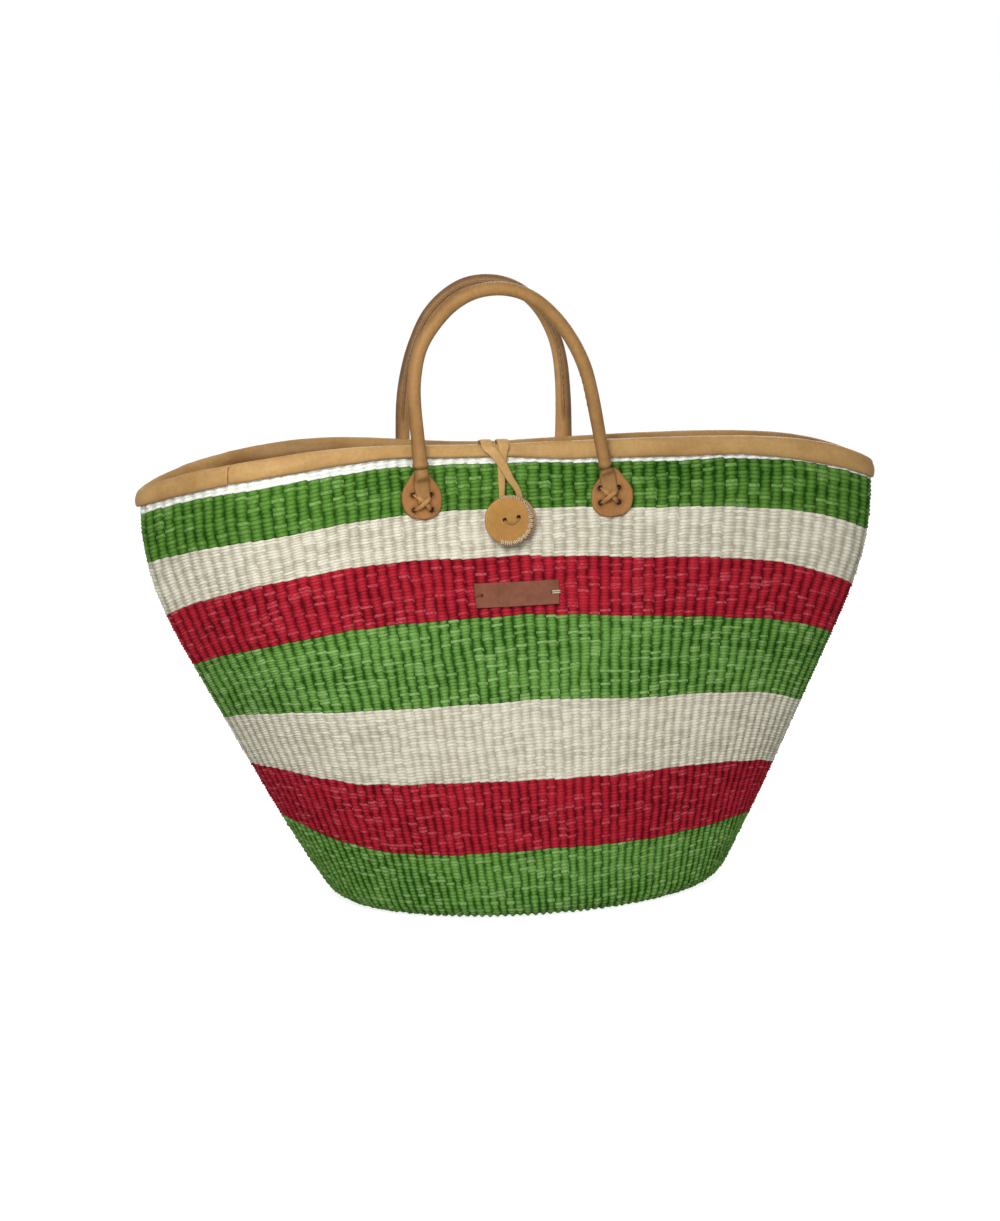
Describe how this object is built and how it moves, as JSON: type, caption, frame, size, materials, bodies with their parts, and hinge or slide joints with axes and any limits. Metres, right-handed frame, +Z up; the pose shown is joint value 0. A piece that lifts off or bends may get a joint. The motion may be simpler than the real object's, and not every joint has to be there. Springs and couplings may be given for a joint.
{
  "type": "woven market basket",
  "caption": "Oval twined sisal basket with dyed bands, a leather-bound narrowing mouth, swinging rolled leather handles and a button closed by a thong.",
  "frame": {"origin": "centre of the base's flat underside, on the surface that the basket stands on", "axes": "+Z up, +X to the right along the mouth's long way, -Y towards the front wall with the button and the label"},
  "size_m": [0.4584, 0.145, 0.3835],
  "materials": {
    "green_sisal": "matte, twined fibre",
    "red_sisal": "matte, twined fibre",
    "cream_sisal": "matte, twined fibre",
    "tan_leather": "smooth vegetable-tanned leather with a dull sheen",
    "brown_leather": "matte dark leather",
    "rope": "matte fibre rope",
    "thread": "waxed thread"
  },
  "bodies": {
    "basket": {"base_disc": "green_sisal", "foot_band_green": "green_sisal", "lower_band_red": "red_sisal", "lower_band_cream": "cream_sisal", "middle_band_green": "green_sisal", "upper_band_red": "red_sisal", "upper_band_cream": "cream_sisal", "top_band_green": "green_sisal", "top_row_cream": "cream_sisal", "rim_binding": "tan_leather", "front_left_patch": "tan_leather", "front_left_tongue": "tan_leather", "front_left_lace": "tan_leather", "front_right_patch": "tan_leather", "front_right_tongue": "tan_leather", "front_right_lace": "tan_leather", "back_left_patch": "tan_leather", "back_left_tongue": "tan_leather", "back_left_lace": "tan_leather", "back_right_patch": "tan_leather", "back_right_tongue": "tan_leather", "back_right_lace": "tan_leather", "closure_thong": "tan_leather", "label": "brown_leather", "left_label_tack": "thread", "right_label_tack": "thread"},
    "front_handle": {"front_handle_sleeve": "tan_leather", "front_handle_core": "rope", "front_handle_seam_thread": "thread"},
    "back_handle": {"back_handle_sleeve": "tan_leather", "back_handle_core": "rope", "back_handle_seam_thread": "thread"},
    "button": {"button_front_disc": "tan_leather", "button_back_disc": "tan_leather", "button_lace": "tan_leather", "button_edge_stitching": "thread"}
  },
  "joints": [
    {"name": "front_handle_swing", "type": "hinge", "parent": "basket", "child": "front_handle", "pos_m": [-0.00224, -0.02664, 0.26773], "axis": [0.9893, 0.1438, -0.023], "range_deg": [0, 140]},
    {"name": "back_handle_swing", "type": "hinge", "parent": "basket", "child": "back_handle", "pos_m": [-0.0167, 0.02751, 0.26825], "axis": [-0.995, 0.0979, 0.0195], "range_deg": [0, 140]},
    {"name": "button_swivel", "type": "hinge", "parent": "basket", "child": "button", "pos_m": [-0.00508, -0.01582, 0.23542], "axis": [0.1021, -0.9896, 0.101], "range_deg": [-45, 45]}
  ]
}
